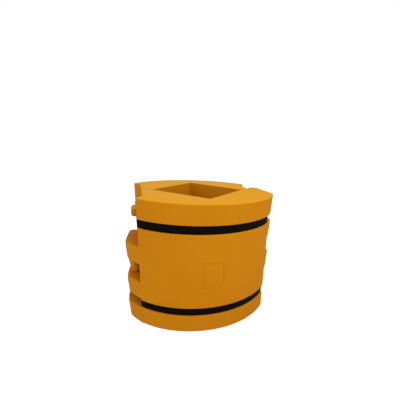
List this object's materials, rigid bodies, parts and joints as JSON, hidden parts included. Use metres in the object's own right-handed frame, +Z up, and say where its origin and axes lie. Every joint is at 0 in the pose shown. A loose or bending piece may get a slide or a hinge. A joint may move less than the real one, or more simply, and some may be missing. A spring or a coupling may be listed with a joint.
{
  "type": "column protector",
  "caption": "Round impact guard that closes round a square column: interlocking moulded halves with curved faces, held together by hook-and-loop straps in grooves.",
  "frame": {"origin": "middle of the square column opening, at floor level", "axes": "+Z up along the column; the opening's sides lie along X and Y; the front half's crown points to +X -Y and the seams lie on the X = Y diagonal"},
  "size_m": [0.7346, 0.7346, 0.61],
  "materials": {
    "body": "satin moulded polyethylene",
    "strap": "woven hook-and-loop webbing"
  },
  "bodies": {
    "root": {"front_half": "body", "rear_half": "body", "upper_strap": "strap", "lower_strap": "strap"}
  },
  "joints": []
}
